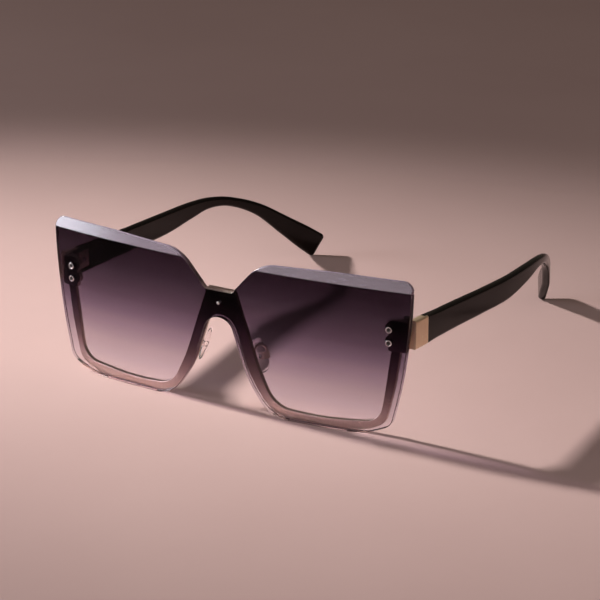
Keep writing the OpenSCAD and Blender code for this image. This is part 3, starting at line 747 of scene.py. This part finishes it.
def new_group(name, inputs, output):
    """An effect as a group: its inputs as (label, kind, value), and the label of its one output."""
    group = bpy.data.node_groups.new(name, "ShaderNodeTree")
    for label, kind, value in inputs:
        socket = group.interface.new_socket(
            name=label, in_out="INPUT", socket_type="NodeSocket" + kind
        )
        if value is not None:
            socket.default_value = value
    group.interface.new_socket(name=output, in_out="OUTPUT", socket_type="NodeSocketFloat")
    given, out = (group.nodes.new("NodeGroup" + end) for end in ("Input", "Output"))
    return group, given.outputs, out.inputs[output]


def cloudy_group():
    """Soft patches, as where a finish is a little thicker or has been handled."""
    inputs = [("Vector", "Vector", None), ("Scale", "Float", 60.0), ("Detail", "Float", 3.0)]
    group, given, out = new_group("soft patches", inputs, "Mask")
    field = noise(group, given["Vector"], given["Scale"], given["Detail"], Roughness=0.55)
    link(group, add(group, "MapRange", i0=field, i1=0.3, i2=0.7).outputs[0], out)
    return group


def brushed_group():
    """Fine lines drawn one way, as on brushed or plated metal."""
    inputs = [
        ("Vector", "Vector", None),
        ("Along", "Vector", (1.0, 1.0, 1.0)),
        ("Scale", "Float", 900.0),
    ]
    group, given, out = new_group("brushed lines", inputs, "Lines")
    drawn = stretched(group, given["Vector"], given["Along"])
    link(group, noise(group, drawn, given["Scale"], detail=4.0, Roughness=0.65), out)
    return group


def hairline_group():
    """Sparse hairline scratches: thin level lines of a noise that is drawn out one way, kept only
    inside patches."""
    inputs = [("Vector", "Vector", None), ("Scale", "Float", 420.0), ("Width", "Float", 0.006)]
    group, given, out = new_group("hairlines", inputs, "Mask")
    turn = {"rotation_type": "EULER_XYZ"}
    askew = add(group, "VectorRotate", turn, Vector=given["Vector"], Rotation=(0.4, 0.3, 0.7))
    drawn = stretched(group, askew.outputs[0], (1.0, 0.07, 1.0))
    field = noise(group, drawn, given["Scale"], detail=1.0)
    off_level = maths(group, "ABSOLUTE", maths(group, "SUBTRACT", field, 0.5))
    thin = maths(group, "LESS_THAN", off_level, given["Width"])
    patches = noise(group, given["Vector"], scale=170.0, detail=0.0)
    some = maths(group, "GREATER_THAN", patches, 0.62)
    link(group, maths(group, "MULTIPLY", thin, some), out)
    return group


PATCHES, BRUSHED, HAIRLINES = cloudy_group(), brushed_group(), hairline_group()


def grouped(tree, group, place, **inputs):
    """An effect's value at a place, with a material's own inputs for it."""
    return add(tree, "Group", {"node_tree": group}, Vector=place, **inputs).outputs[0]


def new_material(name):
    """A material with its shader and the place on the piece that its patterns read."""
    material = bpy.data.materials.new(name)
    material.use_nodes = True
    tree = material.node_tree
    place = tree.nodes.new("ShaderNodeTexCoord").outputs["Object"]
    return material, tree, tree.nodes["Principled BSDF"], place


def set_plain(shader, **values):
    """Values that are the same all over, on the shader's own sockets."""
    for key, value in values.items():
        shader.inputs[key.replace("_", " ")].default_value = value


def finish(tree, shader, colour, roughness, **plain):
    """A shader's colour and roughness from the pattern, and its plain values."""
    link(tree, colour, shader.inputs["Base Color"])
    link(tree, roughness, shader.inputs["Roughness"])
    set_plain(shader, **plain)


def let_lamps_through(tree, shader, tint):
    """Light from the lamps passes a clear piece and takes its tint, so that its shadow is tinted.

    A ray crosses two surfaces, so each gives the square root of the tint.
    """
    path = tree.nodes.new("ShaderNodeLightPath").outputs["Is Shadow Ray"]
    root = add(tree, "Gamma", Color=tint, Gamma=0.5).outputs[0]
    clear = add(tree, "BsdfTransparent", Color=root).outputs[0]
    both = add(tree, "MixShader", i0=path, i1=shader.outputs[0], i2=clear).outputs[0]
    link(tree, both, tree.nodes["Material Output"].inputs["Surface"])


# ---------------------------------------------------------------- materials

# Stops over the lens's height, from its lower edge at 0 to its top at 1
TINT_STOPS = [
    (0.00, (0.94, 0.91, 0.94)),
    (0.10, (0.83, 0.80, 0.86)),
    (0.17, (0.71, 0.68, 0.76)),
    (0.28, (0.55, 0.51, 0.59)),
    (0.38, (0.385, 0.335, 0.43)),
    (0.48, (0.24, 0.198, 0.287)),
    (0.58, (0.135, 0.104, 0.16)),
    (0.66, (0.093, 0.068, 0.107)),
    (0.72, (0.070, 0.052, 0.082)),
    (0.79, (0.044, 0.031, 0.051)),
    (0.88, (0.029, 0.018, 0.032)),
    (1.00, (0.024, 0.014, 0.024)),
]
EDGE_STOPS = [
    (0.10, (0.09, 0.055, 0.055)),
    (0.70, (0.06, 0.035, 0.045)),
    (0.75, (0.27, 0.205, 0.18)),
    (0.77, (0.27, 0.205, 0.18)),
    (0.80, (0.07, 0.045, 0.055)),
    (0.89, (0.07, 0.045, 0.055)),
    (0.95, (0.33, 0.27, 0.36)),
]
# Painted shade on the rims and the bridge: these stops darken the metal towards the top of the
# lens's height
HEIGHT_SHADE_STOPS = [
    (0.00, (1.0, 1.0, 1.0)),
    (0.12, (0.90, 0.86, 0.86)),
    (0.22, (0.62, 0.56, 0.56)),
    (0.32, (0.46, 0.40, 0.40)),
    (1.00, (0.46, 0.40, 0.40)),
]
DRAWN_UP = (1.0, 1.0, 0.08)
DRAWN_UP_LONG = (1.0, 1.0, 0.06)
DRAWN_SHORT = (1.0, 1.0, 0.3)
DRAWN_BACK = (1.0, 0.05, 1.0)
ALONG_BEVEL = (0.06, 1.0, 1.0)
ALONG_EDGE = (0.04, 1.0, 0.04)


def lens_tint(tree, place):
    """The lens's dye: nearly clear plum at the bottom, deep plum at the top, a little uneven."""
    waves = grouped(tree, PATCHES, place, Scale=24.0)
    moved = maths(tree, "MULTIPLY_ADD", waves, 0.012, height_share(tree, place))
    return ramp(tree, moved, TINT_STOPS)


def tinted_lens():
    """Polished plastic with a graded dye and faint handling marks."""
    material, tree, shader, place = new_material("tinted lens")
    tint = lens_tint(tree, place)
    smear = grouped(tree, PATCHES, place, Scale=55.0, Detail=5.0)
    roughness = to_range(tree, smear, 0.0, 0.035)
    finish(tree, shader, tint, roughness, IOR=1.12, Transmission_Weight=1.0)
    let_lamps_through(tree, shader, tint)
    return material


def ground_bevel():
    """The bevel is ground through most of the dye, so it is paler, with a lavender cast."""
    material, tree, shader, place = new_material("ground bevel")
    marks = grouped(tree, BRUSHED, place, Along=ALONG_BEVEL, Scale=1500.0)
    tint = mix_colour(tree, marks, (0.34, 0.27, 0.37), (0.39, 0.32, 0.43))
    roughness = to_range(tree, marks, 0.19, 0.25)
    finish(tree, shader, tint, roughness, IOR=1.7, Transmission_Weight=0.6)
    let_lamps_through(tree, shader, tint)
    return material


def satin_edge():
    """The upper cut edge of the lens and its thin chamfers: dulled, with lines along its length.

    It is brownish over the bridge, pale beside the bevel and a deep plum elsewhere.
    """
    material, tree, shader, place = new_material("satin lens edge")
    marks = grouped(tree, BRUSHED, place, Along=ALONG_EDGE, Scale=2600.0)
    dye = ramp(tree, height_share(tree, place), EDGE_STOPS)
    tint = mix_colour(tree, to_range(tree, marks, 0.0, 0.12), dye, (0.42, 0.33, 0.30))
    roughness = to_range(tree, marks, 0.18, 0.36)
    finish(tree, shader, tint, roughness, IOR=1.4, Transmission_Weight=0.25)
    let_lamps_through(tree, shader, tint)
    return material


def clear_edge():
    """The outer and lower cut edge, polished clear, so that it carries the dye of its height."""
    material, tree, shader, place = new_material("polished lens edge")
    marks = grouped(tree, BRUSHED, place, Along=ALONG_EDGE, Scale=2600.0)
    haze = maths(tree, "MULTIPLY", marks, 0.25)
    tint = mix_colour(tree, haze, lens_tint(tree, place), (0.62, 0.50, 0.49))
    roughness = to_range(tree, marks, 0.0, 0.08)
    finish(tree, shader, tint, roughness, IOR=1.14, Transmission_Weight=1.0)
    let_lamps_through(tree, shader, tint)
    return material


def plated(name, dark, pale, rough, along, height_shade=None):
    """Plated metal: drawn lines, soft patches of tone and hairline wear.

    Painted shade over it may darken it towards the top, given as stops of its own.
    """
    material, tree, shader, place = new_material(name)
    lines = grouped(tree, BRUSHED, place, Along=along, Scale=700.0)
    patches = grouped(tree, PATCHES, place, Scale=90.0)
    worn = grouped(tree, HAIRLINES, place)
    # The patches count half as much as the lines, and their sum is moved back to 0 to 1
    both = maths(tree, "MULTIPLY_ADD", patches, 0.5, lines)
    tone = mix_colour(tree, maths(tree, "SUBTRACT", both, 0.25, clamp=True), dark, pale)
    # Painted shade: the tone is multiplied by a darkening that grows with height
    if height_shade:
        tone = mix_colour(tree, 1.0, tone, ramp(tree, height_share(tree, place), height_shade), "MULTIPLY")
    bright = 1.08
    scratched = tuple(min(1, c * bright) for c in pale)
    colour = mix_colour(tree, worn, tone, scratched)
    finish(tree, shader, colour, to_range(tree, lines, *rough), Metallic=1.0)
    bump(tree, shader, lines, strength=0.12, distance=0.03 * MM)
    return material


def black_acetate():
    """Polished black plastic with a warm cast, a faint swirl and fine handling marks."""
    material, tree, shader, place = new_material("black temple plastic")
    drawn = stretched(tree, place, (1.0, 0.25, 1.0))
    swirl = noise(tree, drawn, scale=45.0, detail=4.0, Distortion=1.2)
    tone = mix_colour(tree, swirl, (0.0035, 0.002, 0.0014), (0.009, 0.0055, 0.0042))
    worn = grouped(tree, HAIRLINES, place, Scale=300.0, Width=0.004)
    colour = mix_colour(tree, worn, tone, (0.018, 0.014, 0.013))
    handled = grouped(tree, PATCHES, place, Scale=70.0, Detail=4.0)
    roughness = to_range(tree, handled, 0.10, 0.19)
    finish(tree, shader, colour, roughness, IOR=1.25, Coat_Weight=0.03, Coat_Roughness=0.1)
    ripple = noise(tree, place, scale=60.0, detail=1.0)
    bump(tree, shader, ripple, strength=0.02, distance=0.2 * MM)
    return material


def soft_silicone():
    """Clear, slightly milky silicone of the nose pads."""
    material, tree, shader, place = new_material("clear silicone")
    haze = grouped(tree, PATCHES, place, Scale=260.0, Detail=3.0)
    tint = mix_colour(tree, haze, (0.92, 0.87, 0.86), (0.98, 0.95, 0.94))
    roughness = to_range(tree, haze, 0.03, 0.10)
    finish(tree, shader, tint, roughness, IOR=1.28, Transmission_Weight=0.97)
    let_lamps_through(tree, shader, tint)
    return material


# ---------------------------------------------------------------- build

lens = shield_lens()
lens_finishes = tinted_lens(), ground_bevel(), satin_edge(), clear_edge()
rim_rose = plated(
    "rose rim metal with painted shade",
    dark=(0.64, 0.50, 0.43), pale=(0.81, 0.655, 0.565), rough=(0.28, 0.42), along=DRAWN_UP,
    height_shade=HEIGHT_SHADE_STOPS,
)
rose = plated(
    "rose lacquered metal",
    dark=(0.52, 0.38, 0.33), pale=(0.66, 0.50, 0.43), rough=(0.28, 0.42), along=DRAWN_UP,
)
gold = plated(
    "pale rose gold",
    dark=(0.88, 0.67, 0.46), pale=(0.99, 0.83, 0.60), rough=(0.40, 0.54), along=DRAWN_UP_LONG,
)
steel = plated(
    "bright steel",
    dark=(0.42, 0.40, 0.41), pale=(0.60, 0.575, 0.585), rough=(0.08, 0.18), along=DRAWN_SHORT,
)
# Painted shade: near-black steel for the inside of the rivets' recesses
recess_shade_steel = plated(
    "steel with painted recess shade",
    dark=(0.05, 0.048, 0.05), pale=(0.12, 0.115, 0.11), rough=(0.35, 0.5), along=DRAWN_SHORT,
)
wire_steel = plated(
    "drawn steel",
    dark=(0.48, 0.47, 0.46), pale=(0.64, 0.62, 0.60), rough=(0.28, 0.42), along=DRAWN_BACK,
)
black = black_acetate()
silicone = soft_silicone()

# Solids that keep their shape: how far their edges are eased, and their finish
EASED = {
    "end_piece": (0.18, rose),
    "temple_cap": (0.10, gold),
    "hinge_front": (0.10, rose),
    "hinge_rear": (0.10, rose),
    "nose_pad_arm": (0, rose),
    "hinge_screw": (0.05, steel),
    "nose_pad_screw": (0.05, steel),
    "hinge_rivets": (0.05, steel),
}


def dress(piece, *materials):
    """Gives a piece its materials, in the order of its faces' slots."""
    for material in materials:
        piece.data.materials.append(material)


dress(lens, *lens_finishes)
dress(bridge(), rim_rose)
for side in ("right", "left"):
    dress(half_rim(side), rim_rose)
    dress(lens_rivets(side), steel, recess_shade_steel)
    dress(temple(side), black)
    dress(nose_pad(side), silicone)
    for kind, (width, metal) in EASED.items():
        dress(eased_copy(kind + "_" + side, width), metal)
    core = cad_nodes["temple_core_" + side]
    core.data.materials.clear()
    dress(core, wire_steel)
dress(eased_copy("bridge_rivet", 0), wire_steel)

# ---------------------------------------------------------------- floor, light and camera


def floor():
    """A plain pale table top, in a faintly uneven rose."""
    reach = 2500.0
    corners = [(-reach, -reach, 0), (reach, -reach, 0), (reach, reach, 0), (-reach, reach, 0)]
    table = put_mesh("table", corners, [(0, 1, 2, 3)])
    material, tree, shader, place = new_material("pale table")
    tone = grouped(tree, PATCHES, place, Scale=6.0, Detail=6.0)
    colour = mix_colour(tree, tone, (0.55, 0.385, 0.368), (0.59, 0.42, 0.40))
    link(tree, colour, shader.inputs["Base Color"])
    set_plain(shader, Roughness=0.6, Specular_IOR_Level=0.1)
    dress(table, material)


def lamp(name, at, towards, size, power, colour, beam=180):
    """A soft light at a place, aimed at a point, both in metres, with its beam in degrees."""
    data = bpy.data.lights.new(name, "AREA")
    data.shape = "RECTANGLE"
    data.size, data.size_y = size
    data.energy = power
    data.color = colour
    data.spread = math.radians(beam)
    made = add_object(name, data)
    made.location = at
    aim = np.array(towards) - np.array(at)
    made.rotation_euler = Vector(aim.tolist()).to_track_quat("-Z", "Y").to_euler()


def soft_room():
    """The faint warm light that comes from all round."""
    world = bpy.data.worlds.new("soft room")
    world.use_nodes = True
    background = world.node_tree.nodes["Background"]
    background.inputs["Color"].default_value = (1.0, 0.82, 0.66, 1)
    background.inputs["Strength"].default_value = 0.11
    bpy.context.scene.world = world


def set_camera():
    """The photograph's view: azimuth 30.01, elevation 20.26 degrees, 889 mm from its target."""
    turn, rise, distance = math.radians(30.010), math.radians(20.26), 0.888637
    target = np.array([0.03303, FRONT_Y * MM, 0.04627])
    across, up = math.cos(rise), math.sin(rise)
    back = np.array([math.sin(turn) * across, -math.cos(turn) * across, up])
    data = bpy.data.cameras.new("photo view")
    data.lens, data.sensor_width = 155.98, 36.0
    data.clip_start, data.clip_end = 0.01, 50.0
    camera = add_object("photo view", data)
    camera.location = (target + back * distance).tolist()
    camera.rotation_euler = Vector((-back).tolist()).to_track_quat("-Z", "Y").to_euler()
    bpy.context.scene.camera = camera


floor()
# A small narrow key gives the crisp shadows, a cool strip lights the bevel, two more fill in
lamp(
    "key", at=(-1.08, -0.030, 0.685), towards=(-0.05, -0.045, 0.02),
    size=(0.07, 0.08), power=0.66, colour=(1.0, 0.95, 0.91), beam=27,
)
lamp(
    "bevel light", at=(-1.01, -0.63, 0.36), towards=(0, -0.08, 0.05),
    size=(0.48, 0.30), power=4.7, colour=(0.90, 0.92, 1.0),
)
lamp(
    "front", at=(-0.35, -1.16, 0.44), towards=(0, -0.08, 0.05),
    size=(1.00, 0.34), power=2.0, colour=(1.0, 0.93, 0.96),
)
lamp(
    "fill", at=(0.9, -0.5, 1.1), towards=(0, 0, 0.02),
    size=(0.9, 0.9), power=1.6, colour=(1.0, 0.90, 0.84),
)
soft_room()
set_camera()
bpy.context.scene.view_settings.view_transform = "Standard"
